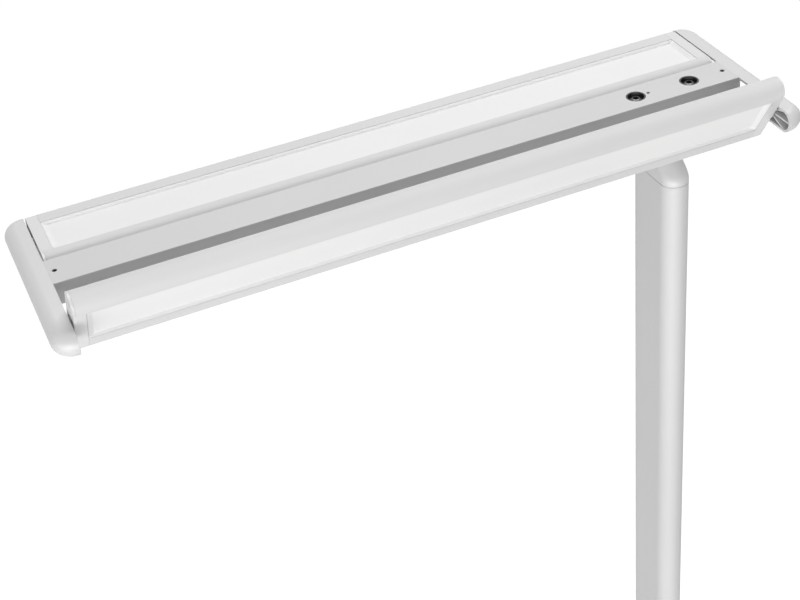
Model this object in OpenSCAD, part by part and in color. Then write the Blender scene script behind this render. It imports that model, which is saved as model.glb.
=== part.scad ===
// Office floor lamp: a slim head with two tilting light wings on an oblong column.
// X runs along the head, Y across it, Z up. The origin is on the floor below the
// middle of the head.

/* [Head] */
// Height of the top face of the head above the floor
head_top = 1950; // [1500:10:2150]
// Thickness of the rail, the wings and the end caps
head_thick = 20; // [18:0.5:24]
// Thickness of the walls of the wing profiles
wing_wall = 1.8; // [1.4:0.1:2.4]
// Wall thickness of the end cap castings
cap_wall = 2; // [1.5:0.1:3]

/* [Wings] */
// Length of one wing
wing_len = 598; // [540:2:700]
// Distance from the tilt axis to the tip of the rounded nose
nose_reach = 42; // [38:0.5:48]
// Distance from the tilt axis to the outer edge
edge_reach = 27.3; // [25:0.1:34]
// Width of the nose rail beside the diffuser
nose_rail_w = 12.5; // [12:0.1:14]
// Width of the hollow rail along the outer edge
outer_rail_w = 13.8; // [12:0.1:15]
// Radius of the long edges of the outer rail
edge_round = 1.5; // [1:0.1:4]
// Thickness of the tray floor
tray_floor = 2; // [1.4:0.1:3]
// Width of the ledge that carries the diffuser
ledge_w = 2; // [1:0.1:3]
// Running gap between the nose of a wing and the rail
wing_rail_gap = 0.5; // [0.4:0.1:2]
// Slit between the end of a wing and the end cap
wing_cap_gap = 1.4; // [1:0.1:4]
// Tilt of the near wing, seen in the photograph
near_tilt = 121; // [0:0.5:180]
// Tilt of the far wing, seen in the photograph
far_tilt = 0; // [0:0.5:180]

/* [Diffuser and LED board] */
// Thickness of the opal diffuser
diffuser_thick = 2.5; // [2:0.1:3]
// Depth of the diffuser below the light face
diffuser_recess = 2.7; // [2:0.1:4]
// Length of the slope at each end of the diffuser
diffuser_slope = 4.5; // [3:0.1:8]
// Thickness of the upturned edges along the diffuser
diffuser_lip = 1.2; // [0.8:0.1:2]
// Gap around the diffuser
diffuser_gap = 0.3; // [0.2:0.05:0.6]
// Width of the LED board
board_w = 24; // [16:1:30]
// Thickness of the LED board
board_thick = 1.6; // [1:0.1:2]
// Gap between the board and the end frames
board_end_gap = 8; // [6:1:20]
// Length of one LED chip along the board
chip_len = 3.5; // [2:0.1:5]
// Width of one LED chip
chip_w = 2.8; // [2:0.1:5]
// Height of one LED chip
chip_high = 0.8; // [0.5:0.1:1.2]
// Distance between neighbouring chips
chip_pitch = 14; // [10:0.5:30]

/* [End frames and pivots] */
// Length of the end frame along the wing
frame_len = 9.7; // [8:0.1:14]
// Thickness of the full-profile end plate
plate_thick = 2; // [1.8:0.1:3]
// Diameter of the pivot pin
pin_d = 8; // [6:0.1:9]
// Radial running clearance of the pin in the hub
pin_clear = 0.05; // [0.02:0.01:0.08]
// Diameter of the flange on the inner end of the pin
pin_flange_d = 11; // [10:0.1:11.4]
// Thickness of the pin flange
pin_flange_thick = 2; // [1:0.1:2.4]
// Wire hole through the pin
pin_bore_d = 4; // [2:0.1:5]
// Depth to which the pin enters the hub
pin_depth = 12; // [8:0.5:14]
// Outer diameter of the spacer between end plate and hub
spacer_d = 11; // [10:0.1:14]
// Axial play between spacer and hub
spacer_play = 0.1; // [0.05:0.05:0.3]
// Diameter of the end plate screws
end_screw_d = 3; // [2.5:0.1:3.5]
// Head diameter of the end plate screws
end_screw_head_d = 5.6; // [5:0.1:6]
// Height of the countersunk head of the end plate screws
end_screw_head = 1.6; // [1:0.1:1.7]
// Depth to which an end screw enters its port
end_screw_grip = 8; // [5:0.5:15]
// Web between the wall of the nose rail and the bore of its screw port
port_lip = 0.4; // [0.2:0.1:1]
// Joint between the end frames and the profiles
frame_joint = 0.1; // [0.05:0.05:0.3]
// Diameter of the screw ports in the profiles
port_d = 6; // [5:0.1:7]

/* [End caps] */
// Length of an end cap along the head
cap_len = 18.7; // [18.5:0.1:30]
// How far an end cap stands out past the wing's outer edge
cap_overhang = 6.7; // [2:0.1:10]
// Radius of the corners of an end cap, seen from above
cap_corner = 17; // [14:0.5:18]
// Diameter of the hub that carries the pin
hub_d = 17; // [14:0.5:17.5]
// Depth of the hub bore
hub_bore_depth = 13; // [9:0.5:14.5]
// Thickness of the radial ribs
rib_thick = 1.5; // [1:0.1:2.5]
// Depth of the rib edges below the rim
rib_recess = 1; // [0:0.1:3]
// Angles of the radial ribs above and below the level line
rib_angle = 20; // [15:1:30]
// Depth of the block that joins the tongue to the walls of the cap
block_depth = 3; // [2.5:0.5:6]
// Width of the solid edge beyond the wiring opening under the cap
window_lip = 3; // [2.5:0.5:6]
// Height to which that opening cuts the wall
window_high = 6; // [4:0.5:7]
// Distance of that opening from the hubs
window_gap = 1.5; // [1:0.5:4]
// Length of the tongue that enters the rail
tongue_len = 14; // [10:0.5:20]
// Gap around the tongue
tongue_gap = 0.1; // [0.05:0.05:0.3]

/* [Rail] */
// Width of the central rail
rail_w = 35; // [32:0.5:45]
// Wall of the central rail
rail_wall = 2; // [1.5:0.1:2.5]
// Radius of the long edges of the rail
rail_round = 0.8; // [0.4:0.1:1.5]
// Diameter of the set screws at the ends of the rail
rail_screw_d = 4; // [3:0.1:5]
// Distance of those set screws from the end of the rail
rail_screw_inset = 5.3; // [4:0.1:8]
// Length of the rail set screws
rail_screw_len = 6; // [4:0.5:7]
// Depth of the set screws below the surface
rail_screw_sink = 0.4; // [0.2:0.1:1]
// Diameter of the small hole beside the first large screw
peep_d = 3; // [2:0.1:4]
// Distance from that screw to the small hole
peep_offset = 11.9; // [11.5:0.1:13]
// Hole for the cable in the rail floor
rail_cable_hole = 10; // [8:0.5:12]

/* [Column] */
// Distance of the column from the end of the rail
column_inset = 64.2; // [60:0.1:150]
// Thickness of the column along the head
column_thick = 26.4; // [24:0.2:34]
// Depth of the column across the head
column_depth = 66; // [64:1:90]
// Wall of the column
column_wall = 2.4; // [2:0.1:3]
// Distance from the top face of the head down to the seam
seam_drop = 81.4; // [78:0.1:110]
// Gap around the spigots in the column
spigot_gap = 0.1; // [0.05:0.05:0.3]
// Length of the spigots
spigot_len = 30; // [25:1:50]
// Diameter of the set screws in the column
set_screw_d = 6; // [5:0.1:7]
// Length of those set screws
set_screw_len = 9; // [6:0.5:10]
// Distance of the set screws from the end of the column
set_screw_inset = 15; // [10:0.5:20]
// Distance of each set screw from the middle of the column
set_screw_y = 11; // [10:0.1:11.5]

/* [Column head] */
// Distance between the two large screws
clamp_pitch = 52; // [48:0.1:60]
// Diameter of the large screws
clamp_screw_d = 8; // [6:0.5:9]
// Diameter of their button heads
clamp_head_d = 13.6; // [12:0.1:14]
// Height of the button heads
clamp_head_high = 4.4; // [3:0.1:5]
// Depth of the head seat below the rail's top face
clamp_seat = 5.8; // [5.4:0.1:8]
// Outer diameter of the bush around each screw
bush_d = 17; // [16:0.1:20]
// Wall of the bush around the screw head
bush_wall = 1.3; // [1:0.1:1.5]
// Length of the flange under the rail
flange_len = 80; // [74:1:100]
// Thickness of that flange
flange_thick = 10; // [8:0.5:14]
// Corner radius of that flange
flange_round = 8; // [4:0.5:14]
// Side gap of the casting behind the edges of the rail
neck_inset = 0.6; // [0.5:0.1:3]
// Step of the neck behind the flat sides of the shoulders
neck_step = 0.4; // [0.2:0.1:2]
// Corner radius of the neck
neck_round = 4; // [3:0.5:10]
// Radius of the fillets below the flange
neck_fillet = 17; // [8:0.5:18]
// Upright height of the casting above the seam, below the domed shoulders
shoulder_lift = 4.5; // [3:0.5:8]
// Height of the domes over the shoulders
shoulder_high = 14.2; // [12:0.1:20]
// Height of the shadow groove at the seam
seam_groove_high = 0.6; // [0.3:0.1:1]
// Depth of that groove
seam_groove_deep = 0.4; // [0.2:0.1:1]
// Bore for the cable
cable_bore = 10; // [9:0.5:12]
// Length of the grommet's sleeve in that hole
grommet_len = 6; // [4:0.5:10]
// Thickness of the grommet's flange
grommet_flange = 1.5; // [1:0.1:2.5]
// Width of the grommet's flange around the hole
grommet_lip = 2; // [1:0.1:3]

/* [Driver and wiring] */
// Length of the LED driver
driver_len = 250; // [150:5:260]
// Height of the LED driver
driver_high = 14; // [8:0.5:14]
// Side gap of the driver in the rail
driver_gap = 0.2; // [0.1:0.1:1]
// Distance from the column back to the driver
driver_reach = 178.7; // [120:0.1:200]
// Corner radius of the driver
driver_round = 2; // [1:0.5:4]
// Length of the terminal block
terminal_len = 25.4; // [20:0.2:26]
// Height of the terminal block
terminal_high = 12; // [8:0.5:13]
// Side gap of the terminal block in the rail
terminal_gap = 2; // [0.2:0.1:2.1]
// Diameter of the driver leads
lead_d = 3.6; // [2:0.1:3.8]
// Distance of each lead from the middle of the rail
lead_y = 11.2; // [11:0.1:11.4]
// Diameter of the cable in the column
cable_d = 4.4; // [3:0.1:4.6]
// Bend radius of that cable behind the gland
cable_bend = 9; // [7:0.1:9]

/* [Base] */
// Length of the base plate
base_len = 500; // [420:10:560]
// Width of the base plate
base_w = 280; // [240:10:400]
// Thickness of the base plate
base_thick = 8; // [6:0.5:12]
// Corner radius of the base plate
base_round = 30; // [15:1:60]
// Chamfer on the upper edge of the base plate
base_chamfer = 1.2; // [0.5:0.1:3]
// Distance from the column's middle to the nearer end of the plate
base_back = 60; // [55:1:80]
// Diameter of the glides
glide_d = 30; // [20:1:40]
// Height of the glides below the plate
glide_high = 3; // [2:0.5:8]
// Distance of the glides from the plate's edges
glide_inset = 35; // [30:1:60]
// Diameter of the plug on each glide
glide_plug_d = 8; // [5:0.5:10]
// Length of that plug
glide_plug_len = 4; // [2:0.5:5]
// Diameter of the base screws
base_screw_d = 8; // [6:0.5:8.5]
// Head diameter of the base screws
base_screw_head_d = 15; // [12:0.5:16]
// Height of the countersunk head
base_screw_head = 4; // [3:0.2:4.4]
// Distance of each base screw from the column's middle
base_screw_y = 20; // [19.5:0.1:21]
// Depth to which a base screw enters the foot insert
base_screw_grip = 18; // [12:1:22]
// Height of the foot insert in the column
foot_high = 40; // [34:1:50]
// Height of the collar
collar_high = 14; // [8:1:16]
// Wall of the collar
collar_wall = 6; // [3.5:0.5:10]
// Radius on the upper edge of the collar
collar_round = 3; // [1:0.5:3]
// Gap between the collar and the column
collar_gap = 0.15; // [0.1:0.05:0.5]

/* [Cable gland] */
// Height of the gland above the floor
gland_z = 75; // [68:1:90]
// Bore of the gland
gland_bore = 7.2; // [6:0.1:8]
// Diameter of the gland's neck in the wall
gland_neck_d = 12; // [10:0.5:14]
// Diameter of the gland's flange and lip
gland_flange_d = 17; // [15:0.5:20]
// Thickness of the outer flange
gland_flange_thick = 2.6; // [1:0.1:4]
// Thickness of the inner lip
gland_lip = 1.6; // [1:0.1:1.7]

/* [Push button] */
// Height of the push button above the floor
button_z = 1050; // [900:10:1200]
// Diameter of the push button
button_d = 12; // [10:0.1:13]
// Radial clearance of the push button
button_clear = 0.1; // [0.05:0.01:0.1]
// How far the button stands proud of its flange
button_proud = 1.6; // [1.4:0.1:3]
// Travel of the button
button_travel = 1.2; // [0.8:0.1:1.3]
// Play left behind the button at the end of its travel
button_play = 0.1; // [0.05:0.05:0.3]
// Diameter of the switch barrel
barrel_d = 16; // [15:0.1:17]
// Length of the barrel behind the column's face
barrel_len = 10.5; // [10:0.1:10.8]
// Thickness of the barrel's floor
barrel_floor = 2; // [1:0.1:2.5]
// Diameter of the barrel's flange
barrel_flange_d = 20; // [19:0.5:26]
// Thickness of the barrel's flange
barrel_flange = 2; // [1:0.1:3]
// Width of the nut across its flats
nut_w = 19; // [18:0.5:22]
// Thickness of the nut
nut_thick = 3; // [2:0.1:4]
// Width of the tact switch
tact_w = 6; // [4:0.5:7]
// Height of the tact switch
tact_high = 3.2; // [2:0.1:3.5]

/* [Fits] */
// Radial clearance of screws in their threads and holes
thread_gap = 0.05; // [0.02:0.01:0.1]
// Radial clearance of pieces that stay put in a bore
fixed_gap = 0.02; // [0.01:0.01:0.05]
// Radial clearance of screws in plain holes
hole_gap = 0.2; // [0.1:0.05:0.4]

/* [Hidden] */
$fn = 96;
cut = 1;
curve_step = 5;
drive_share = 0.62;
drive_sink = 0.65;
crown_share = 0.45;

bull = head_thick/2;
axis_z = head_top - bull;
pivot_y = rail_w/2 + wing_rail_gap + nose_reach;
wing_end = wing_len/2;
panel_end = wing_end - frame_len;
cap_face = wing_end + wing_cap_gap;
cap_end = cap_face + cap_len;
cap_half = pivot_y + edge_reach + cap_overhang;
cap_corner_x = cap_end - cap_corner;
cap_corner_y = cap_half - cap_corner;

nose_u = -(nose_reach - bull);
joint_u = -(nose_reach - nose_rail_w);
outer_u = edge_reach - outer_rail_w;
seat_v = bull - diffuser_recess - diffuser_thick;
nose_port_u = joint_u - wing_wall - end_screw_d/2 - port_lip;
outer_port_u = edge_reach - outer_rail_w/2;
board_half = panel_end - board_end_gap;
board_u = (joint_u + wing_wall + outer_u)/2;

rail_bottom = head_top - head_thick;
column_x = cap_face - column_inset;
driver_end_x = column_x - driver_reach;
rail_floor = rail_bottom + rail_wall;
screw_x = [column_x - clamp_pitch/2, column_x + clamp_pitch/2];
seam_z = head_top - seam_drop;
flange_bottom = rail_bottom - flange_thick;
neck_w = rail_w - 2*neck_inset;
neck_thick = column_thick - 2*neck_step;
clamp_seat_z = head_top - clamp_seat;

base_top = glide_high + base_thick;
base_x1 = column_x + base_back;
base_x0 = base_x1 - base_len;
column_face = column_thick/2;
column_inside = column_face - column_wall;
spigot_thick = 2*(column_inside - spigot_gap);
spigot_depth = column_depth - column_thick + spigot_thick;
terminal_half = terminal_len/2;
button_back = -column_face + barrel_len - barrel_floor - tact_high - button_travel - button_play;

// ---- helpers ----------------------------------------------------------------

// Extrudes an outline in (Y, Z) along X from x0 to x1
module along_x(x0, x1) {
    translate([x0, 0, 0])
        rotate([90, 0, 90])
            linear_extrude(x1 - x0)
                children();
}

// Cylinder along X from x0 to x1
module rod_x(x0, x1, d) {
    translate([x0, 0, 0])
        rotate([0, 90, 0])
            cylinder(d = d, h = x1 - x0);
}

// Cone along X from diameter d0 at x0 to diameter d1 at x1
module cone_x(x0, x1, d0, d1) {
    translate([x0, 0, 0])
        rotate([0, 90, 0])
            cylinder(d1 = d0, d2 = d1, h = x1 - x0);
}

// The same piece at both ends of the head
module both_ends() {
    children();
    mirror([1, 0, 0])
        children();
}

// Rectangle with round corners, centred
module rounded_rect(length, width, radius) {
    square([length - 2*radius, width], center = true);
    square([length, width - 2*radius], center = true);
    for (sx = [-1, 1]) {
        for (sy = [-1, 1]) {
            translate([sx*(length/2 - radius), sy*(width/2 - radius)])
                circle(radius);
        }
    }
}

// Oblong with full round ends, long side along Y
module oblong(thick, depth) {
    square([thick, depth - thick], center = true);
    for (s = [-1, 1]) {
        translate([0, s*(depth - thick)/2])
            circle(d = thick);
    }
}

// Set screw along Z with its top at the origin
module set_screw(d, length) {
    socket = d/2;
    difference() {
        translate([0, 0, -length])
            cylinder(d = d, h = length);
        translate([0, 0, -length/2])
            cylinder(d = socket, h = length/2 + cut, $fn = 6);
    }
}

// Countersunk screw along Z with its flat head at the origin and pointing down
module flat_screw(d, length, head_d, head_high) {
    socket = d*drive_share;
    difference() {
        union() {
            translate([0, 0, -head_high])
                cylinder(d1 = d, d2 = head_d, h = head_high);
            translate([0, 0, -length])
                cylinder(d = d, h = length - head_high);
        }
        translate([0, 0, -head_high*drive_sink])
            cylinder(d = socket, h = head_high, $fn = 6);
    }
}

// ---- wing, about its tilt axis ----------------------------------------------

module far_wing() {
    translate([0, pivot_y, axis_z])
        rotate([-far_tilt, 0, 0])
            children();
}

module near_wing() {
    translate([0, -pivot_y, axis_z])
        rotate([near_tilt, 0, 0])
            mirror([0, 1, 0])
                children();
}

// Nose rail outline, shrunk on all sides by the given wall
module nose_outline(wall) {
    intersection() {
        translate([nose_u, 0])
            circle(bull - wall);
        translate([nose_u - head_thick, -bull])
            square(head_thick);
    }
    translate([nose_u, wall - bull])
        square([joint_u - nose_u - wall, 2*(bull - wall)]);
}

// Rounds the two long edges of the outer rail
module edge_cuts(radius) {
    for (s = [-1, 1]) {
        difference() {
            translate([edge_reach - radius, s*(bull - radius) - (s < 0 ? radius + cut : 0)])
                square([radius + cut, radius + cut]);
            translate([edge_reach - radius, s*(bull - radius)])
                circle(radius);
        }
    }
}

// Outline of everything beyond the nose rail
module panel_outline() {
    difference() {
        translate([joint_u, -bull])
            square([edge_reach - joint_u, head_thick]);
        edge_cuts(edge_round);
    }
}

module nose_section() {
    difference() {
        nose_outline(0);
        nose_outline(wing_wall);
    }
    translate([nose_port_u, 0])
        difference() {
            circle(d = port_d);
            circle(d = end_screw_d + 2*thread_gap);
        }
}

module tray_section() {
    hollow_w = outer_rail_w - 2*wing_wall;
    hollow_h = head_thick - 2*wing_wall;
    difference() {
        union() {
            translate([joint_u, -bull])
                square([outer_u - joint_u + wing_wall, tray_floor]);
            translate([joint_u, -bull])
                square([wing_wall, seat_v + bull]);
            translate([outer_u - ledge_w, seat_v - wing_wall])
                square([ledge_w + wing_wall, wing_wall]);
            translate([outer_u, -bull])
                square([outer_rail_w, head_thick]);
        }
        edge_cuts(edge_round);
        translate([outer_u + wing_wall, -hollow_h/2])
            square([hollow_w, hollow_h]);
    }
    // screw port on a web between the two walls
    difference() {
        union() {
            translate([outer_port_u, 0])
                circle(d = port_d);
            translate([outer_u + wing_wall/2, -wing_wall/2])
                square([outer_rail_w - wing_wall, wing_wall]);
        }
        translate([outer_port_u, 0])
            circle(d = end_screw_d + 2*thread_gap);
    }
}

module wing_nose_rail() {
    color("gainsboro")
        along_x(plate_thick + frame_joint - wing_end, wing_end - plate_thick - frame_joint)
            nose_section();
}

module wing_tray() {
    color("gainsboro")
        along_x(frame_joint - panel_end, panel_end - frame_joint)
            tray_section();
}

// Opal dish: its ends slope up to the light face and its long edges turn up
module wing_diffuser() {
    half = panel_end - diffuser_gap;
    flat_half = half - diffuser_slope;
    rise = diffuser_recess - diffuser_gap;
    top = seat_v + diffuser_thick;
    dish_u = joint_u + diffuser_gap;
    dish_w = outer_u - joint_u - 2*diffuser_gap;
    color("whitesmoke") {
        translate([0, dish_u + dish_w, 0])
            rotate([90, 0, 0])
                linear_extrude(dish_w)
                    polygon([
                        [-half, top + rise],
                        [-flat_half, top],
                        [flat_half, top],
                        [half, top + rise],
                        [half, seat_v + rise],
                        [flat_half, seat_v],
                        [-flat_half, seat_v],
                        [-half, seat_v + rise]
                    ]);
        for (u = [dish_u, dish_u + dish_w - diffuser_lip]) {
            translate([0, u + diffuser_lip, 0])
                rotate([90, 0, 0])
                    linear_extrude(diffuser_lip)
                        polygon([
                            [-half, top + rise],
                            [half, top + rise],
                            [half, seat_v + rise],
                            [flat_half, seat_v],
                            [-flat_half, seat_v],
                            [-half, seat_v + rise]
                        ]);
        }
    }
}

module wing_led_board() {
    chips = floor((2*board_half - chip_len)/chip_pitch);
    color("white")
        translate([-board_half, board_u - board_w/2, tray_floor - bull])
            cube([2*board_half, board_w, board_thick]);
    color("khaki")
        for (i = [0 : chips]) {
            translate([(i - chips/2)*chip_pitch - chip_len/2, board_u - chip_w/2,
                       tray_floor - bull + board_thick])
                cube([chip_len, chip_w, chip_high]);
        }
}

// Cast end frame: a plate with the full outline and a block beside the diffuser
module end_frame() {
    difference() {
        union() {
            along_x(wing_end - plate_thick, wing_end) {
                nose_outline(0);
                panel_outline();
            }
            along_x(panel_end, wing_end - plate_thick)
                panel_outline();
        }
        rod_x(panel_end - cut, wing_end + cut, pin_d + 2*fixed_gap);
        for (u = [nose_port_u, outer_port_u]) {
            translate([0, u, 0]) {
                rod_x(panel_end - cut, wing_end + cut, end_screw_d + 2*hole_gap);
                cone_x(wing_end - end_screw_head, wing_end, end_screw_d + 2*hole_gap,
                       end_screw_head_d + 2*thread_gap);
            }
        }
    }
}

module wing_end_frames() {
    color("lightgray")
        both_ends()
            end_frame();
}

module wing_end_screws() {
    color("silver")
        both_ends() {
            translate([wing_end, nose_port_u, 0])
                rotate([0, 90, 0])
                    flat_screw(end_screw_d, plate_thick + end_screw_grip,
                               end_screw_head_d, end_screw_head);
            translate([wing_end, outer_port_u, 0])
                rotate([0, 90, 0])
                    flat_screw(end_screw_d, frame_len + end_screw_grip,
                               end_screw_head_d, end_screw_head);
        }
}

module wing_pivot_pins() {
    color("dimgray")
        both_ends()
            difference() {
                union() {
                    rod_x(panel_end, cap_face + pin_depth, pin_d);
                    rod_x(panel_end - pin_flange_thick, panel_end, pin_flange_d);
                }
                rod_x(panel_end - pin_flange_thick - cut, cap_face + pin_depth + cut, pin_bore_d);
            }
}

module wing_spacers() {
    color("ivory")
        both_ends()
            difference() {
                rod_x(wing_end, cap_face - spacer_play, spacer_d);
                rod_x(wing_end - cut, cap_face + cut, pin_d + 2*pin_clear);
            }
}

module near_nose_rail() near_wing() wing_nose_rail();
module near_tray() near_wing() wing_tray();
module near_diffuser() near_wing() wing_diffuser();
module near_led_board() near_wing() wing_led_board();
module near_end_frames() near_wing() wing_end_frames();
module near_end_screws() near_wing() wing_end_screws();
module near_pivot_pins() near_wing() wing_pivot_pins();
module near_spacers() near_wing() wing_spacers();

module far_nose_rail() far_wing() wing_nose_rail();
module far_tray() far_wing() wing_tray();
module far_diffuser() far_wing() wing_diffuser();
module far_led_board() far_wing() wing_led_board();
module far_end_frames() far_wing() wing_end_frames();
module far_end_screws() far_wing() wing_end_screws();
module far_pivot_pins() far_wing() wing_pivot_pins();
module far_spacers() far_wing() wing_spacers();

// ---- central rail -----------------------------------------------------------

module central_rail() {
    color("gainsboro")
        difference() {
            translate([0, 0, axis_z])
                along_x(-cap_face, cap_face)
                    difference() {
                        rounded_rect(rail_w, head_thick, rail_round);
                        square([rail_w - 2*rail_wall, head_thick - 2*rail_wall], center = true);
                    }
            for (x = screw_x) {
                translate([x, 0, rail_floor])
                    cylinder(d = bush_d + 2*thread_gap, h = head_thick);
                translate([x, 0, rail_bottom - cut])
                    cylinder(d = clamp_screw_d + 2*hole_gap, h = head_thick);
            }
            translate([screw_x[0] + peep_offset, 0, axis_z])
                cylinder(d = peep_d, h = head_thick);
            translate([column_x, 0, rail_bottom - cut])
                cylinder(d = rail_cable_hole, h = bull);
            for (s = [-1, 1]) {
                translate([s*(cap_face - rail_screw_inset), 0, axis_z])
                    cylinder(d = rail_screw_d + 2*thread_gap, h = head_thick);
            }
        }
}

module rail_set_screws() {
    color("dimgray")
        both_ends()
            translate([cap_face - rail_screw_inset, 0, head_top - rail_screw_sink])
                set_screw(rail_screw_d, rail_screw_len);
}

// ---- end caps ---------------------------------------------------------------

// Half section of the cap: a straight core and a full-round edge
module rim_outline(core, radius) {
    translate([0, -radius])
        square([core, 2*radius]);
    translate([core, 0])
        intersection() {
            circle(radius);
            translate([0, -radius])
                square([radius, 2*radius]);
        }
}

// Cap body about the head's middle plane, with the given edge radius.
// A cutting body runs past the open face by the lead.
module cap_body(radius, lead = 0) {
    mouth = cap_face - lead;
    corner_core = cap_corner - bull;
    translate([mouth, 0, 0])
        rotate([90, 0, 0])
            linear_extrude(2*cap_corner_y, center = true)
                rim_outline(cap_end - bull - mouth, radius);
    for (s = [0, 1]) {
        mirror([0, s, 0]) {
            translate([cap_corner_x, cap_corner_y, 0])
                rotate_extrude(angle = 90)
                    rim_outline(corner_core, radius);
            translate([mouth, cap_corner_y, 0])
                rotate([90, 0, 90])
                    linear_extrude(cap_corner_x - mouth)
                        rim_outline(corner_core, radius);
        }
    }
}

// Hubs, radial ribs and the block behind the tongue
module cap_inside() {
    lead = 2*cut;
    for (s = [-1, 1]) {
        translate([0, s*pivot_y, 0]) {
            rod_x(cap_face - lead, cap_end, hub_d);
            for (a = [-rib_angle, 0, rib_angle]) {
                rotate([s > 0 ? a : a + 180, 0, 0])
                    translate([cap_face + rib_recess, 0, -rib_thick/2])
                        cube([cap_len, pivot_y - rail_w/2 + rib_thick, rib_thick]);
            }
        }
    }
    translate([cap_face - lead, rail_wall - rail_w/2, -bull])
        cube([block_depth + lead, rail_w - 2*rail_wall, head_thick]);
}

module end_cap() {
    tongue_w = rail_w - 2*(rail_wall + tongue_gap);
    tongue_h = head_thick - 2*(rail_wall + tongue_gap);
    window_half = pivot_y - hub_d/2 - window_gap;
    translate([0, 0, axis_z])
        difference() {
            union() {
                difference() {
                    cap_body(bull);
                    difference() {
                        cap_body(bull - cap_wall, cut);
                        cap_inside();
                    }
                }
                translate([cap_face - tongue_len, -tongue_w/2, -tongue_h/2])
                    cube([tongue_len + cap_wall, tongue_w, tongue_h]);
            }
            for (s = [-1, 1]) {
                translate([0, s*pivot_y, 0])
                    rod_x(cap_face - cut, cap_face + hub_bore_depth, pin_d + 2*pin_clear);
            }
            translate([cap_face - rail_screw_inset, 0, bull - rail_screw_sink - rail_screw_len])
                cylinder(d = rail_screw_d + 2*thread_gap, h = head_thick);
            // wiring opening in the underside, from hub to hub
            translate([cap_face + block_depth, -window_half, -bull - cut])
                cube([cap_len - block_depth - window_lip, 2*window_half, window_high + cut]);
        }
}

module right_end_cap() {
    color("silver")
        end_cap();
}

module left_end_cap() {
    color("silver")
        mirror([1, 0, 0])
            end_cap();
}

// ---- inside the rail --------------------------------------------------------

module clamp_bushes() {
    color("dimgray")
        for (x = screw_x) {
            translate([x, 0, 0])
                difference() {
                    translate([0, 0, rail_floor])
                        cylinder(d = bush_d, h = head_top - rail_floor);
                    translate([0, 0, clamp_seat_z])
                        cylinder(d = bush_d - 2*bush_wall, h = clamp_seat + cut);
                    translate([0, 0, rail_floor - cut])
                        cylinder(d = clamp_screw_d + 2*hole_gap, h = head_thick);
                }
        }
}

// Button-head screw outline, half, with its seat at the origin
module button_outline(d, length, head_d, head_high) {
    rim = head_high/4;
    rim_r = head_d/2;
    crown_r = rim_r*crown_share;
    drop = (rim_r^2 - crown_r^2 + rim^2 - head_high^2)/(2*(head_high - rim));
    dome_r = norm([rim_r, rim + drop]);
    translate([0, -length])
        square([d/2, length]);
    intersection() {
        square([rim_r, head_high]);
        translate([0, -drop])
            circle(dome_r);
    }
}

module clamp_screws() {
    socket_w = clamp_screw_d*drive_share;
    socket_depth = clamp_head_high*drive_sink;
    color("gray")
        for (x = screw_x) {
            translate([x, 0, clamp_seat_z])
                difference() {
                    rotate_extrude()
                        button_outline(clamp_screw_d, clamp_seat_z - flange_bottom, clamp_head_d,
                                       clamp_head_high);
                    translate([0, 0, clamp_head_high - socket_depth])
                        cylinder(d = socket_w/cos(30), h = socket_depth + cut, $fn = 6);
                }
        }
}

module led_driver() {
    width = rail_w - 2*(rail_wall + driver_gap);
    color("white")
        translate([0, 0, rail_floor + driver_high/2])
            along_x(driver_end_x - driver_len, driver_end_x)
                rounded_rect(width, driver_high, driver_round);
}

module driver_leads() {
    color("darkred")
        for (s = [-1, 1]) {
            translate([0, s*lead_y, rail_floor + terminal_high/2])
                rod_x(driver_end_x, column_x - terminal_half, lead_d);
        }
}

module terminal_block() {
    width = rail_w - 2*(rail_wall + terminal_gap);
    color("white")
        translate([column_x - terminal_half, -width/2, rail_floor])
            cube([terminal_len, width, terminal_high]);
}

// ---- column head ------------------------------------------------------------

// Half of the shoulder section: upright below, a quarter ellipse above
module shoulder_half() {
    polygon(concat([[0, 0], [column_thick/2, 0]], [
        for (a = [0 : curve_step : 90])
            [column_thick/2*cos(a), shoulder_lift + shoulder_high*sin(a)]
    ]));
}

// Body of the casting above the seam, with domed ends
module shoulders() {
    straight = column_depth - column_thick;
    translate([0, straight/2, 0])
        rotate([90, 0, 0])
            linear_extrude(straight) {
                shoulder_half();
                mirror([1, 0])
                    shoulder_half();
            }
    for (s = [-1, 1]) {
        translate([0, s*straight/2, 0])
            rotate_extrude()
                shoulder_half();
    }
}

// Concave fillets that lead from the neck to the flange
module neck_fillets() {
    for (s = [0, 1]) {
        mirror([s, 0, 0])
            translate([neck_thick/2, neck_w/2, flange_bottom - neck_fillet])
                rotate([90, 0, 0])
                    linear_extrude(neck_w)
                        difference() {
                            translate([-neck_round, 0])
                                square([neck_fillet + neck_round, neck_fillet]);
                            translate([neck_fillet, 0])
                                circle(neck_fillet);
                            translate([-neck_round - cut, -cut])
                                square([neck_round + cut, neck_fillet/2]);
                        }
    }
}

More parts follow.
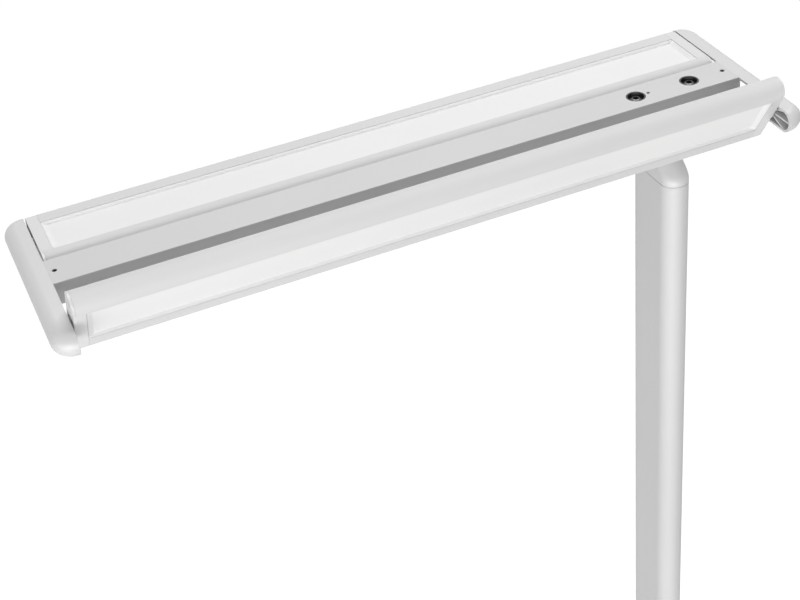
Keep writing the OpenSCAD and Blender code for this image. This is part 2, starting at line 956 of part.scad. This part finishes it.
module column_head() {
    thread_d = clamp_screw_d + 2*thread_gap;
    screw_d = set_screw_d + 2*thread_gap;
    color("silver")
        translate([column_x, 0, 0])
            difference() {
                union() {
                    translate([0, 0, flange_bottom])
                        linear_extrude(flange_thick)
                            rounded_rect(flange_len, neck_w, flange_round);
                    neck_fillets();
                    translate([0, 0, seam_z])
                        linear_extrude(flange_bottom - seam_z)
                            rounded_rect(neck_thick, neck_w, neck_round);
                    translate([0, 0, seam_z])
                        shoulders();
                    translate([0, 0, seam_z - spigot_len])
                        linear_extrude(spigot_len)
                            oblong(spigot_thick, spigot_depth);
                }
                // shadow groove all round, just above the seam
                translate([0, 0, seam_z])
                    linear_extrude(seam_groove_high)
                        difference() {
                            oblong(column_thick + 2*cut, column_depth + 2*cut);
                            oblong(column_thick - 2*seam_groove_deep,
                                   column_depth - 2*seam_groove_deep);
                        }
                for (s = [-1, 1]) {
                    translate([s*clamp_pitch/2, 0, flange_bottom - neck_fillet])
                        cylinder(d = thread_d, h = flange_thick + neck_fillet + cut);
                    translate([0, s*set_screw_y, seam_z - set_screw_inset])
                        rod_x(column_face - set_screw_len, column_face + cut, screw_d);
                }
                translate([0, 0, seam_z - spigot_len - cut])
                    cylinder(d = cable_bore, h = seam_drop + spigot_len);
            }
}

module cable_grommet() {
    color("black")
        translate([column_x, 0, seam_z - spigot_len])
            difference() {
                union() {
                    cylinder(d = cable_bore - 2*fixed_gap, h = grommet_len);
                    translate([0, 0, -grommet_flange])
                        cylinder(d = cable_bore + 2*grommet_lip, h = grommet_flange);
                }
                translate([0, 0, -grommet_flange - cut])
                    cylinder(d = cable_d + 2*fixed_gap, h = grommet_len + grommet_flange + 2*cut);
            }
}

// ---- column -----------------------------------------------------------------

module column() {
    color("silver")
        translate([column_x, 0, 0])
            difference() {
                translate([0, 0, base_top])
                    linear_extrude(seam_z - base_top)
                        difference() {
                            oblong(column_thick, column_depth);
                            oblong(2*column_inside, column_depth - 2*column_wall);
                        }
                for (z = [base_top + set_screw_inset, seam_z - set_screw_inset]) {
                    for (s = [-1, 1]) {
                        translate([0, s*set_screw_y, z])
                            rod_x(0, column_thick, set_screw_d + 2*thread_gap);
                    }
                }
                translate([0, 0, gland_z])
                    rod_x(0, column_thick, gland_neck_d + 2*fixed_gap);
                translate([0, 0, button_z])
                    rod_x(-column_thick, 0, barrel_d + 2*fixed_gap);
            }
}

module column_cable() {
    color("black")
        translate([column_x, 0, 0]) {
            translate([0, 0, gland_z + cable_bend])
                cylinder(d = cable_d, h = rail_floor - gland_z - cable_bend);
            translate([cable_bend, 0, gland_z + cable_bend])
                rotate([90, 0, 0])
                    rotate([0, 0, 180])
                        rotate_extrude(angle = 90)
                            translate([cable_bend, 0])
                                circle(d = cable_d);
        }
}

module column_set_screws() {
    color("dimgray")
        for (z = [base_top + set_screw_inset, seam_z - set_screw_inset]) {
            for (s = [-1, 1]) {
                translate([column_x + column_face, s*set_screw_y, z])
                    rotate([0, 90, 0])
                        set_screw(set_screw_d, set_screw_len);
            }
        }
}

module column_foot() {
    color("gray")
        translate([column_x, 0, 0])
            difference() {
                translate([0, 0, base_top])
                    linear_extrude(foot_high)
                        oblong(spigot_thick, spigot_depth);
                for (s = [-1, 1]) {
                    translate([0, s*base_screw_y, base_top - cut])
                        cylinder(d = base_screw_d + 2*thread_gap, h = foot_high + 2*cut);
                    translate([0, s*set_screw_y, base_top + set_screw_inset])
                        rod_x(column_face - set_screw_len, column_face, set_screw_d + 2*thread_gap);
                }
            }
}

// Half section of the collar, measured from the middle of a round end
module collar_section() {
    inner = column_thick/2 + collar_gap;
    outer = inner + collar_wall;
    translate([inner, 0])
        square([collar_wall - collar_round, collar_high]);
    translate([inner, 0])
        square([collar_wall, collar_high - collar_round]);
    translate([outer - collar_round, collar_high - collar_round])
        circle(collar_round);
}

module foot_collar() {
    straight = column_depth - column_thick;
    color("darkgray")
        translate([column_x, 0, base_top]) {
            for (s = [0, 1]) {
                mirror([0, s, 0])
                    translate([0, straight/2, 0])
                        rotate_extrude(angle = 180)
                            collar_section();
                mirror([s, 0, 0])
                    translate([0, straight/2, 0])
                        rotate([90, 0, 0])
                            linear_extrude(straight)
                                collar_section();
            }
        }
}

// ---- base -------------------------------------------------------------------

// Edge section of the base plate, from the corner centre outwards
module base_edge() {
    polygon([
        [0, 0],
        [base_round, 0],
        [base_round, base_thick - base_chamfer],
        [base_round - base_chamfer, base_thick],
        [0, base_thick]
    ]);
}

module base_blank() {
    inner_len = base_len - 2*base_round;
    inner_w = base_w - 2*base_round;
    translate([-inner_len/2, -inner_w/2, 0])
        cube([inner_len, inner_w, base_thick]);
    for (s = [0, 1]) {
        mirror([s, 0, 0])
            translate([inner_len/2, inner_w/2, 0])
                rotate([90, 0, 0])
                    linear_extrude(inner_w)
                        base_edge();
        mirror([0, s, 0])
            translate([-inner_len/2, inner_w/2, 0])
                rotate([90, 0, 90])
                    linear_extrude(inner_len)
                        base_edge();
        for (t = [0, 1]) {
            mirror([s, 0, 0])
                mirror([0, t, 0])
                    translate([inner_len/2, inner_w/2, 0])
                        rotate_extrude(angle = 90)
                            base_edge();
        }
    }
}

// Repeats its children at the four glide positions
module at_glides() {
    for (x = [base_x0 + glide_inset, base_x1 - glide_inset]) {
        for (s = [-1, 1]) {
            translate([x, s*(base_w/2 - glide_inset), glide_high])
                children();
        }
    }
}

module base_plate() {
    color("silver")
        difference() {
            translate([(base_x0 + base_x1)/2, 0, glide_high])
                base_blank();
            for (s = [-1, 1]) {
                translate([column_x, s*base_screw_y, glide_high]) {
                    translate([0, 0, -cut])
                        cylinder(d = base_screw_d + 2*hole_gap, h = base_thick + 2*cut);
                    cylinder(d1 = base_screw_head_d + 2*hole_gap,
                             d2 = base_screw_d + 2*hole_gap, h = base_screw_head);
                }
            }
            at_glides()
                translate([0, 0, -cut])
                    cylinder(d = glide_plug_d + 2*fixed_gap, h = glide_plug_len + cut);
        }
}

module base_screws() {
    color("dimgray")
        for (s = [-1, 1]) {
            translate([column_x, s*base_screw_y, glide_high])
                mirror([0, 0, 1])
                    flat_screw(base_screw_d, base_thick + base_screw_grip, base_screw_head_d,
                               base_screw_head);
        }
}

module base_glides() {
    rim = glide_high/3;
    color("black")
        at_glides() {
            cylinder(d = glide_plug_d, h = glide_plug_len);
            translate([0, 0, rim - glide_high])
                cylinder(d = glide_d, h = glide_high - rim);
            translate([0, 0, -glide_high])
                cylinder(d1 = glide_d - 2*rim, d2 = glide_d, h = rim);
        }
}

// ---- cable gland ------------------------------------------------------------

module cable_gland() {
    color("black")
        translate([column_x, 0, gland_z])
            difference() {
                union() {
                    rod_x(column_inside - gland_lip, column_inside, gland_flange_d);
                    rod_x(column_inside, column_face, gland_neck_d);
                    rod_x(column_face, column_face + gland_flange_thick/2, gland_flange_d);
                    cone_x(column_face + gland_flange_thick/2, column_face + gland_flange_thick,
                           gland_flange_d, gland_flange_d - gland_flange_thick);
                }
                rod_x(0, column_thick, gland_bore);
            }
}

// ---- push button ------------------------------------------------------------

module switch_barrel() {
    color("silver")
        translate([column_x, 0, button_z])
            difference() {
                union() {
                    rod_x(-column_face, barrel_len - column_face, barrel_d);
                    rod_x(-column_face - barrel_flange/2, -column_face, barrel_flange_d);
                    cone_x(-column_face - barrel_flange, -column_face - barrel_flange/2,
                           barrel_flange_d - barrel_flange, barrel_flange_d);
                }
                rod_x(-column_thick, barrel_len - barrel_floor - column_face,
                      button_d + 2*button_clear);
            }
}

module switch_nut() {
    color("silver")
        translate([column_x, 0, button_z])
            difference() {
                translate([-column_inside, 0, 0])
                    rotate([0, 90, 0])
                        cylinder(d = nut_w/cos(30), h = nut_thick, $fn = 6);
                rod_x(-column_thick, column_thick, barrel_d + 2*thread_gap);
            }
}

module tact_switch() {
    x0 = barrel_len - barrel_floor - column_face - tact_high;
    color("black")
        translate([column_x + x0, 0, button_z]) {
            translate([tact_high/3, -tact_w/2, -tact_w/2])
                cube([tact_high*2/3, tact_w, tact_w]);
            rod_x(0, tact_high/3, tact_w/2);
        }
}

module push_button() {
    front = -column_face - barrel_flange - button_proud;
    edge = button_proud/2;
    color("dimgray")
        translate([column_x, 0, button_z])
            difference() {
                union() {
                    cone_x(front, front + edge, button_d - 2*edge, button_d);
                    rod_x(front + edge, button_back, button_d);
                }
                // shallow dish for the fingertip
                translate([front - button_d*2 + edge/2, 0, 0])
                    sphere(d = button_d*4);
            }
}

central_rail();
left_end_cap();
right_end_cap();
rail_set_screws();
clamp_bushes();
clamp_screws();
led_driver();
driver_leads();
terminal_block();
column_head();
cable_grommet();
column();
column_cable();
column_set_screws();
column_foot();
foot_collar();
base_plate();
base_screws();
base_glides();
cable_gland();
switch_barrel();
switch_nut();
tact_switch();
push_button();
near_nose_rail();
near_tray();
near_diffuser();
near_led_board();
near_end_frames();
near_end_screws();
near_pivot_pins();
near_spacers();
far_nose_rail();
far_tray();
far_diffuser();
far_led_board();
far_end_frames();
far_end_screws();
far_pivot_pins();
far_spacers();
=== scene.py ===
import math

import bmesh
import bpy
from mathutils import Matrix, Vector


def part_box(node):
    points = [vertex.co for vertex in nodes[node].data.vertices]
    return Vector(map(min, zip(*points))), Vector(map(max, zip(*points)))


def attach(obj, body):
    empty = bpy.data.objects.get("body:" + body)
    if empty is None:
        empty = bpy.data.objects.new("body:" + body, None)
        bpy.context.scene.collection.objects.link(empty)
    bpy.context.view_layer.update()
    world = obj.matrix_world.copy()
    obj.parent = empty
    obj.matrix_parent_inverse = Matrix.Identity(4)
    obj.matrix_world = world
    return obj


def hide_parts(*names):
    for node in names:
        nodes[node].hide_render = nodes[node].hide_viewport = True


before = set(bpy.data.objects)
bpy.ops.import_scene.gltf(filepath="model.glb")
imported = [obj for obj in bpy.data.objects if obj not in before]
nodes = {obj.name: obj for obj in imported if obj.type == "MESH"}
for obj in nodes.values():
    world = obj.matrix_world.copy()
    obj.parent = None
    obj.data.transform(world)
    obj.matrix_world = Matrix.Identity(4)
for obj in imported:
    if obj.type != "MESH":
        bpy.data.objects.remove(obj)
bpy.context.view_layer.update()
scene = bpy.context.scene

# ---- camera: where the photograph was taken from ------------------------------

YAW, PITCH, ROLL = 0.3454, 0.6237, -0.1060
EYE = Vector((-0.39949, -1.05464, 2.62758))
LENS = 72.808
SENSOR = 36


def make_camera():
    look = Vector((math.sin(YAW) * math.cos(PITCH), math.cos(YAW) * math.cos(PITCH), -math.sin(PITCH)))
    right = look.cross(Vector((0, 0, 1))).normalized()
    up = right.cross(look)
    x = math.cos(ROLL) * right + math.sin(ROLL) * up
    y = -math.sin(ROLL) * right + math.cos(ROLL) * up
    data = bpy.data.cameras.new("Camera")
    data.sensor_width = SENSOR
    data.lens = LENS
    data.clip_start = 0.01
    data.clip_end = 60
    cam = bpy.data.objects.new("Camera", data)
    scene.collection.objects.link(cam)
    cam.matrix_world = Matrix.Translation(EYE) @ Matrix((x, y, -look)).transposed().to_4x4()
    scene.camera = cam


make_camera()
scene.view_settings.view_transform = "Standard"

# ---- materials ----------------------------------------------------------------

# turn of the near wing at rest
NEAR_TILT = math.radians(121)
# where along X the dishes' sloped ends take a painted shade, a little darker than the rest, and half the
# width of that blend
DISH_END = 0.2847
DISH_BLEND = 0.0005


class Graph:
    """A material's node tree, with short calls to add nodes and join them."""

    def __init__(self, name):
        self.mat = bpy.data.materials.new(name)
        self.mat.use_nodes = True
        self.tree = self.mat.node_tree
        self.tree.nodes.clear()
        self.out = self.tree.nodes.new("ShaderNodeOutputMaterial")
        coordinates = self.tree.nodes.new("ShaderNodeTexCoord").outputs
        self.place = coordinates["Object"]
        self.facing = coordinates["Normal"]

    def put(self, socket, value):
        if isinstance(value, bpy.types.NodeSocket):
            self.tree.links.new(value, socket)
        else:
            socket.default_value = value

    def add(self, kind, settings=None, **inputs):
        """Add a node; i0, i1 and so on name its inputs by number, other names are the inputs' own."""
        node = self.tree.nodes.new("ShaderNode" + kind)
        for key, value in (settings or {}).items():
            setattr(node, key, value)
        for key, value in inputs.items():
            by_number = key[0] == "i" and key[1:].isdigit()
            self.put(node.inputs[int(key[1:])] if by_number else node.inputs[key.replace("_", " ")], value)
        return node

    def math(self, how, a, b=0.0):
        return self.add("Math", {"operation": how}, i0=a, i1=b).outputs[0]

    def spread(self, value, low, high, to_low, to_high):
        """Map low..high to to_low..to_high, with the ends clamped."""
        node = self.add("MapRange", {"clamp": True}, Value=value, From_Min=low, From_Max=high,
                        To_Min=to_low, To_Max=to_high)
        return node.outputs["Result"]

    def scaled(self, scale):
        return self.add("Mapping", Vector=self.place, Scale=scale).outputs["Vector"]

    def noise(self, vector, scale=1.0, detail=2.0):
        return self.add("TexNoise", Vector=vector, Scale=scale, Detail=detail).outputs[0]

    def mix(self, factor, a, b):
        node = self.add("Mix", {"data_type": "RGBA"})
        for index, v in ((0, factor), (6, a), (7, b)):
            self.put(node.inputs[index], v)
        return node.outputs[2]

    def bump(self, height, distance, strength=1.0, under=None):
        node = self.add("Bump", Height=height, Distance=distance, Strength=strength)
        if under is not None:
            self.put(node.inputs["Normal"], under)
        return node.outputs["Normal"]

    def soft_edge(self, radius):
        """Normal that is rounded over at sharp edges."""
        return self.add("Bevel", {"samples": 4}, Radius=radius).outputs[0]

    def finish(self, shader):
        self.tree.links.new(shader, self.out.inputs["Surface"])
        return self.mat


def grey(level, warm=0.0):
    return (level * (1 + warm), level, level * (1 - warm), 1.0)


def principled(g, colour, rough, normal, **fixed):
    return g.add("BsdfPrincipled", Base_Color=colour, Roughness=rough, Normal=normal, **fixed).outputs[0]


def extrusion(name, level, along, metal=0.1, rough=0.5, painted_side_shade=1.0):
    """Satin anodised extrusion: faint die lines along it, a fine blasted grain and slow tone drift.

    The last argument is painted shade: the tone of the faces that look along Y, as a share of the others.
    """
    g = Graph(name)
    lines = [1400.0, 1400.0, 1400.0]
    lines["xyz".index(along)] = 1.5
    die = g.noise(g.scaled(lines), detail=1.0)
    grain = g.noise(g.place, scale=3200.0)
    drift = g.noise(g.place, scale=5.0)
    tone = g.mix(g.spread(drift, 0.35, 0.65, 0, 1), grey(level * 0.975), grey(level * 1.02))
    tone = g.mix(g.spread(die, 0.3, 0.7, 0, 0.5), tone, grey(level * 0.985))
    facing = g.math("ABSOLUTE", g.add("SeparateXYZ", Vector=g.facing).outputs[1])
    # painted shade: faces that look along Y are darkened toward black by the share they lack
    tone = g.mix(g.spread(facing, 0.6, 0.95, 0, 1 - painted_side_shade), tone, grey(0.0))
    rough = g.math("ADD", g.spread(die, 0.3, 0.7, rough - 0.03, rough + 0.04),
                   g.spread(grain, 0.3, 0.7, -0.02, 0.03))
    normal = g.bump(grain, 0.000012, 0.5, g.bump(die, 0.000010, 0.5, g.soft_edge(0.0003)))
    return g.finish(principled(g, tone, rough, normal, Metallic=metal))


def powder_coat(name, level):
    """Fine powder coat: orange peel about a millimetre across and a little sparkle of tone."""
    g = Graph(name)
    peel = g.noise(g.place, scale=620.0)
    speck = g.noise(g.place, scale=4200.0, detail=1.0)
    drift = g.noise(g.place, scale=7.0)
    tone = g.mix(g.spread(drift, 0.35, 0.65, 0, 1), grey(level * 0.98), grey(level * 1.015))
    tone = g.mix(g.spread(speck, 0.45, 0.75, 0, 0.35), tone, grey(level * 1.05))
    rough = g.spread(peel, 0.3, 0.7, 0.40, 0.50)
    normal = g.bump(speck, 0.000010, 0.4, g.bump(peel, 0.00003, 0.5, g.soft_edge(0.0004)))
    return g.finish(principled(g, tone, rough, normal, Metallic=0.12))


def milled(name, level):
    """Bare cut metal with fine tool marks."""
    g = Graph(name)
    marks = g.noise(g.scaled((300.0, 2600.0, 300.0)))
    cloud = g.noise(g.place, scale=40.0, detail=3.0)
    tone = g.mix(cloud, grey(level * 0.93), grey(level * 1.05))
    rough = g.spread(marks, 0.3, 0.7, 0.30, 0.45)
    return g.finish(principled(g, tone, rough, g.bump(marks, 0.00001, 0.6), Metallic=0.85))


def plated(name, level, rough_low, rough_high, metal=1.0):
    """Plated or polished metal with a few smudges and a skin too fine to see singly."""
    g = Graph(name)
    smudge = g.noise(g.place, scale=300.0, detail=3.0)
    fine = g.noise(g.place, scale=5200.0, detail=1.0)
    tone = g.mix(smudge, grey(level * 0.88), grey(level * 1.1))
    rough = g.spread(smudge, 0.3, 0.7, rough_low, rough_high)
    normal = g.bump(fine, 0.000006, 0.5, g.soft_edge(0.0002))
    return g.finish(principled(g, tone, rough, normal, Metallic=metal))


def moulded(name, level, rough=0.5, warm=0.0):
    """Moulded plastic with a fine spark-eroded grain."""
    g = Graph(name)
    skin = g.noise(g.place, scale=1500.0, detail=3.0)
    drift = g.noise(g.place, scale=30.0)
    tone = g.mix(drift, grey(level * 0.93, warm), grey(level * 1.07, warm))
    rough = g.spread(skin, 0.3, 0.7, rough - 0.07, rough + 0.07)
    return g.finish(principled(g, tone, rough, g.bump(skin, 0.00004, 0.6)))


def sheath(name, level):
    """Soft cable sheath: slightly wavy and dull."""
    g = Graph(name)
    wave = g.noise(g.place, scale=90.0)
    skin = g.noise(g.place, scale=2500.0)
    tone = g.mix(wave, grey(level * 0.85), grey(level * 1.15))
    rough = g.spread(skin, 0.3, 0.7, 0.55, 0.7)
    return g.finish(principled(g, tone, rough, g.bump(skin, 0.00003, 0.5)))


def opal(name, level, tilt, glow, warm=0.0):
    """Opal acrylic dish with a soft satin skin.

    Its thin upturned walls glow a little as painted light, an emission that stands in for light let
    through the acrylic; tilt is the dish's turn at rest.
    """
    g = Graph(name)
    reach = g.math("ABSOLUTE", g.add("SeparateXYZ", Vector=g.place).outputs[0])
    ends = g.spread(reach, DISH_END - DISH_BLEND, DISH_END + DISH_BLEND, 0, 1)
    cloud = g.noise(g.place, scale=12.0)
    skin = g.noise(g.place, scale=1800.0)
    tone = g.mix(g.spread(cloud, 0.3, 0.7, 0, 1), grey(level * 0.992, warm), grey(level * 1.006, warm))
    # painted shade on the dish's sloped ends
    tone = g.mix(ends, tone, grey(level * 0.985, warm))
    rough = g.spread(skin, 0.3, 0.7, 0.30, 0.40)
    front = (0.0, -math.sin(tilt), math.cos(tilt))
    turned = g.add("VectorMath", {"operation": "DOT_PRODUCT"}, i0=g.facing, i1=front).outputs["Value"]
    # painted light: faces turned away from the dish's face, its walls, get this emission
    wall = g.spread(g.math("ABSOLUTE", turned), 0.3, 0.8, glow, 0)
    return g.finish(principled(g, tone, rough, g.bump(skin, 0.00001, 0.5),
                               Emission_Color=grey(1.0), Emission_Strength=wall))


def led_board(name):
    """White solder mask, smooth and a little warm."""
    g = Graph(name)
    skin = g.noise(g.place, scale=900.0)
    tone = g.mix(skin, grey(0.80, 0.01), grey(0.88, 0.01))
    rough = g.spread(skin, 0.3, 0.7, 0.25, 0.35)
    return g.finish(principled(g, tone, rough, g.bump(skin, 0.00001, 0.5)))


LOOKS = {
    # the rail's two long faces carry painted shade, a fifth darker than its top
    "rail metal": extrusion("rail_metal", 0.655, "x", painted_side_shade=0.80),
    "wing metal": extrusion("wing_metal", 0.755, "x", metal=0.0, rough=0.6),
    "column metal": extrusion("column_metal", 0.705, "z"),
    "cast coat": powder_coat("cast_coat", 0.70),
    "base coat": powder_coat("base_coat", 0.70),
    "milled": milled("milled_alloy", 0.62),
    "end frame": powder_coat("end_frame_coat", 0.75),
    "zinc": plated("zinc_steel", 0.55, 0.25, 0.4),
    "dark nickel": plated("dark_nickel", 0.12, 0.12, 0.22, metal=0.7),
    "black steel": plated("black_steel", 0.05, 0.3, 0.45),
    "stainless": plated("stainless", 0.58, 0.22, 0.34),
    "far opal": opal("opal_acrylic", 0.92, tilt=0.0, glow=0.2),
    # the near dish is the same acrylic as the far one; its darker tone and smaller glow are painted shade
    "near opal painted shade": opal("opal_acrylic_near_painted_shade", 0.885, tilt=NEAR_TILT, glow=0.03, warm=0.004),
    "board": led_board("board_mask"),
    "white plastic": moulded("white_plastic", 0.74, 0.45, 0.01),
    "black plastic": moulded("black_plastic", 0.035),
    "sheath": sheath("cable_sheath", 0.07),
}

WEARS = {
    "rail metal": ["central_rail"],
    "wing metal": ["near_nose_rail", "near_tray", "far_nose_rail", "far_tray"],
    "column metal": ["column"],
    "cast coat": ["left_end_cap", "right_end_cap", "column_head", "foot_collar"],
    "base coat": ["base_plate"],
    "milled": ["column_foot"],
    "end frame": ["near_end_frames", "far_end_frames"],
    "zinc": ["column_set_screws", "base_screws", "switch_nut", "near_end_screws",
             "far_end_screws", "near_pivot_pins", "far_pivot_pins"],
    "dark nickel": ["clamp_screws", "clamp_bushes"],
    "black steel": ["rail_set_screws"],
    "stainless": ["push_button", "switch_barrel"],
    "far opal": ["far_diffuser"],
    "near opal painted shade": ["near_diffuser"],
    "board": ["near_led_board", "far_led_board"],
    "white plastic": ["led_driver", "terminal_block", "near_spacers", "far_spacers"],
    "black plastic": ["cable_grommet", "cable_gland", "tact_switch", "base_glides"],
    "sheath": ["column_cable", "driver_leads"],
}

for look, wearers in WEARS.items():
    for node_name in wearers:
        data = nodes[node_name].data
        data.materials.clear()
        data.materials.append(LOOKS[look])

# ---- column head --------------------------------------------------------------

# heights of the seam on the column and of the flange's underside
SEAM = 1.8686
FLANGE = 1.920
# shadow groove above the seam
GROOVE_DEEP = 0.0004
GROOVE_HIGH = 0.0006
# shoulder: where it starts above the seam, how high it is, and rings over it
SHOULDER_LIFT = 0.003
SHOULDER_HIGH = 0.020
SHOULDER_RINGS = 16
# neck: step behind the column's flat side, half its depth, its corner radius
NECK_STEP = 0.0004
NECK_DEPTH = 0.0169
NECK_CORNER = 0.012
# concave flare from neck to flange, rings over it, and the flange's corner radius
FLARE = 0.017
FLARE_RINGS = 12
FLANGE_CORNER = 0.008
# wall and clearance between the column's face and the spigot inside it
SPIGOT_INSET = 0.0026
# what a corner radius stays short of the half thickness, so that no two points meet
SHORT = 0.0001
# angle between faces from which an edge is drawn sharp
SHARP_ANGLE = math.radians(35)


def rounded_ring(height, thick, depth, corner, steps=10):
    """Points of a rounded rectangle at a height, from half its thickness and depth."""
    points = []
    for sx, sy, start in ((1, 1, 0), (-1, 1, 90), (-1, -1, 180), (1, -1, 270)):
        for i in range(steps + 1):
            a = math.radians(start + 90 * i / steps)
            points.append((sx * (thick - corner) + corner * math.cos(a),
                           sy * (depth - corner) + corner * math.sin(a), height))
    return points


def casting_sections():
    """Height, half thickness, half depth and corner radius of each ring, from the spigot up."""
    low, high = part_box("column_head")
    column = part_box("column")
    thick = (column[1][0] - column[0][0]) / 2
    depth = (column[1][1] - column[0][1]) / 2
    flange = (high[0] - low[0]) / 2
    neck = thick - NECK_STEP
    spigot = (thick - SPIGOT_INSET, depth - SPIGOT_INSET, thick - SPIGOT_INSET - SHORT)
    groove = (thick - GROOVE_DEEP, depth - GROOVE_DEEP, thick - GROOVE_DEEP - SHORT)
    sections = [(low[2], *spigot), (SEAM, *spigot), (SEAM, *groove), (SEAM + GROOVE_HIGH, *groove),
                (SEAM + GROOVE_HIGH, thick, depth, thick - SHORT)]
    for i in range(SHOULDER_RINGS + 1):
        u = i / SHOULDER_RINGS
        sweep = u * u * (3 - 2 * u)
        sections.append((SEAM + SHOULDER_LIFT + SHOULDER_HIGH * u, thick + (neck - thick) * u,
                         depth + (NECK_DEPTH - depth) * sweep,
                         thick - SHORT + (NECK_CORNER - thick) * u))
    for i in range(FLARE_RINGS + 1):
        a = math.radians(90 * i / FLARE_RINGS)
        sections.append((FLANGE - FLARE + FLARE * math.sin(a), neck + FLARE * (1 - math.cos(a)),
                         NECK_DEPTH, NECK_CORNER))
    return sections + [(z, flange, NECK_DEPTH, FLANGE_CORNER) for z in (FLANGE, high[2])]


def head_casting():
    """Column head, lofted: spigot, shadow groove, shoulder swept in to the neck, flare and flange."""
    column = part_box("column")
    centre = (column[1][0] + column[0][0]) / 2
    mesh = bmesh.new()
    rings = [[mesh.verts.new((centre + x, y, z)) for x, y, z in rounded_ring(*section)]
             for section in casting_sections()]
    for one, two in zip(rings, rings[1:]):
        for i in range(len(one)):
            j = (i + 1) % len(one)
            mesh.faces.new((one[i], one[j], two[j], two[i]))
    mesh.faces.new(rings[0][::-1])
    mesh.faces.new(rings[-1])
    for face in mesh.faces:
        face.smooth = True
    data = bpy.data.meshes.new("head_casting")
    mesh.to_mesh(data)
    mesh.free()
    data.set_sharp_from_angle(angle=SHARP_ANGLE)
    piece = bpy.data.objects.new("head_casting", data)
    scene.collection.objects.link(piece)
    data.materials.append(LOOKS["cast coat"])
    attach(piece, "frame")
    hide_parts("column_head")


head_casting()

# ---- floor, world and lamps ---------------------------------------------------

FLOOR_HALF = 9.0
FLOOR_GLOW = 0.83
WORLD_LEVEL = 0.3

# name, place, target, size and watts of each soft box
LAMPS = (
    ("front", (-0.5, -2.8, 1.5), (0.0, 0, 1.6), (2.4, 2.0), 36),
    ("front left", (-2.0, -2.2, 1.5), (0.0, 0, 1.6), (1.8, 2.0), 30),
    ("top", (0.6, 0.7, 4.3), (0, 0, 1.9), (2.4, 1.8), 48),
    ("left", (-2.8, -0.8, 1.6), (0.1, 0, 1.6), (1.8, 2.0), 12),
)


def make_floor():
    corners = [(x * FLOOR_HALF, y * FLOOR_HALF, 0) for x, y in ((-1, -1), (1, -1), (1, 1), (-1, 1))]
    mesh = bpy.data.meshes.new("floor")
    mesh.from_pydata(corners, [], [(0, 1, 2, 3)])
    floor = bpy.data.objects.new("floor", mesh)
    scene.collection.objects.link(floor)
    g = Graph("floor_white")
    haze = g.noise(g.place, scale=2.0)
    plain = g.add("BsdfDiffuse", Color=g.mix(haze, grey(0.47), grey(0.49))).outputs[0]
    path = g.add("LightPath").outputs
    seen = g.math("MAXIMUM", path["Is Glossy Ray"], path["Is Transmission Ray"])
    seen = g.math("MAXIMUM", path["Is Camera Ray"], seen)
    glow = g.add("Emission", Color=grey(1.0), Strength=g.math("MULTIPLY", seen, FLOOR_GLOW)).outputs[0]
    mesh.materials.append(g.finish(g.add("AddShader", i0=plain, i1=glow).outputs[0]))


def make_world():
    """White where the camera, gloss or glass sees it, and dimmer as light on the object."""
    world = bpy.data.worlds.new("studio")
    world.use_nodes = True
    tree = world.node_tree
    tree.nodes.clear()
    path = tree.nodes.new("ShaderNodeLightPath").outputs
    seen = path["Is Camera Ray"]
    for ray in ("Is Transmission Ray", "Is Glossy Ray"):
        either = tree.nodes.new("ShaderNodeMath")
        either.operation = "MAXIMUM"
        tree.links.new(seen, either.inputs[0])
        tree.links.new(path[ray], either.inputs[1])
        seen = either.outputs[0]
    strength = tree.nodes.new("ShaderNodeMapRange")
    tree.links.new(seen, strength.inputs["Value"])
    strength.inputs["To Min"].default_value = WORLD_LEVEL
    strength.inputs["To Max"].default_value = 1.0
    back = tree.nodes.new("ShaderNodeBackground")
    back.inputs["Color"].default_value = grey(1.0)
    tree.links.new(strength.outputs["Result"], back.inputs["Strength"])
    out = tree.nodes.new("ShaderNodeOutputWorld")
    tree.links.new(back.outputs[0], out.inputs["Surface"])
    scene.world = world


def soft_box(name, place, target, size, power):
    data = bpy.data.lights.new(name, "AREA")
    data.shape = "RECTANGLE"
    data.size, data.size_y = size
    data.energy = power
    lamp = bpy.data.objects.new(name, data)
    scene.collection.objects.link(lamp)
    lamp.location = place
    lamp.rotation_euler = (Vector(target) - Vector(place)).to_track_quat("-Z", "Y").to_euler()


make_floor()
make_world()
for lamp_row in LAMPS:
    soft_box(*lamp_row)
